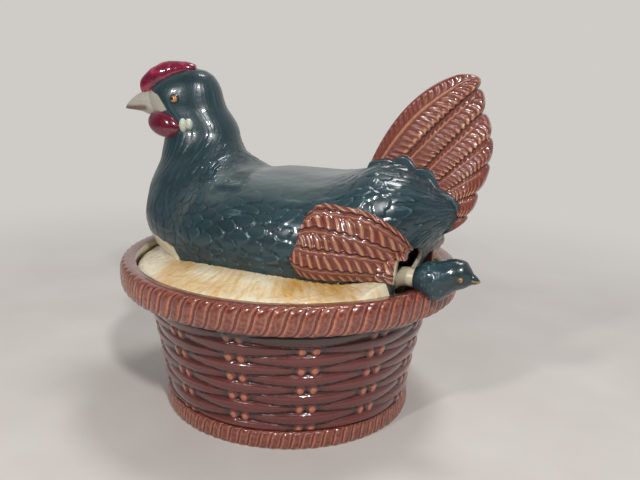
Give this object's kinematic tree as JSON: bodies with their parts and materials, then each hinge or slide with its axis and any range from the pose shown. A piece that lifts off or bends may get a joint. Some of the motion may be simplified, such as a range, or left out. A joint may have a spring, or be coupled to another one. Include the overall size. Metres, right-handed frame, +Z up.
{
  "type": "hen on nest soup tureen with ladle",
  "caption": "Glazed earthenware soup tureen: a basket-weave bowl with rope rim and foot, a lift-off lid shaped as a nesting hen, and a ladle with a chick-head handle.",
  "frame": {"origin": "centre of the flat dry base, where the tureen stands on the table", "axes": "+Z up, -X towards the hen's head end, +X towards the tail and the ladle, -Y towards the hen's left side"},
  "size_m": [0.3328, 0.29, 0.2912],
  "materials": {
    "basket_glaze": "glossy red-brown glaze, paler on the ridges and darker in the grooves",
    "straw_glaze": "glossy cream glaze streaked with ochre",
    "teal_glaze": "glossy teal glaze pooling dark in the feather grooves",
    "russet_glaze": "glossy russet glaze, tan on the feather ridges",
    "crimson_glaze": "very glossy crimson glaze",
    "beak_glaze": "glossy grey-white glaze",
    "eye_glaze": "glossy tan glaze with a black pupil",
    "lobe_glaze": "glossy pale greenish white glaze",
    "cream_glaze": "glossy cream glaze"
  },
  "bodies": {
    "basket": {"basket_bowl": "basket_glaze", "rim_rope": "basket_glaze", "foot_rope": "basket_glaze"},
    "lid": {"nest_straw": "straw_glaze", "hen_body": "teal_glaze", "wing_left": "russet_glaze", "wing_right": "russet_glaze", "tail_fan": "russet_glaze", "comb": "crimson_glaze", "wattle_left": "crimson_glaze", "wattle_right": "crimson_glaze", "beak": "beak_glaze", "eye_left": "eye_glaze", "eye_right": "eye_glaze", "earlobe_left": "lobe_glaze", "earlobe_right": "lobe_glaze"},
    "ladle": {"ladle_bowl": "cream_glaze", "ladle_handle": "cream_glaze", "chick_head": "teal_glaze", "chick_beak": "lobe_glaze", "chick_eye_left": "lobe_glaze", "chick_eye_right": "lobe_glaze"}
  },
  "joints": [
    {"name": "lid_lift", "type": "slide", "parent": "basket", "child": "lid", "axis": [0, 0, 1], "range_m": [0, 0.2]},
    {"name": "ladle_tilt", "type": "hinge", "parent": "basket", "child": "ladle", "pos_m": [0.004, -0.038, 0.0083], "axis": [0, -1, 0], "range_deg": [0, 3]}
  ]
}
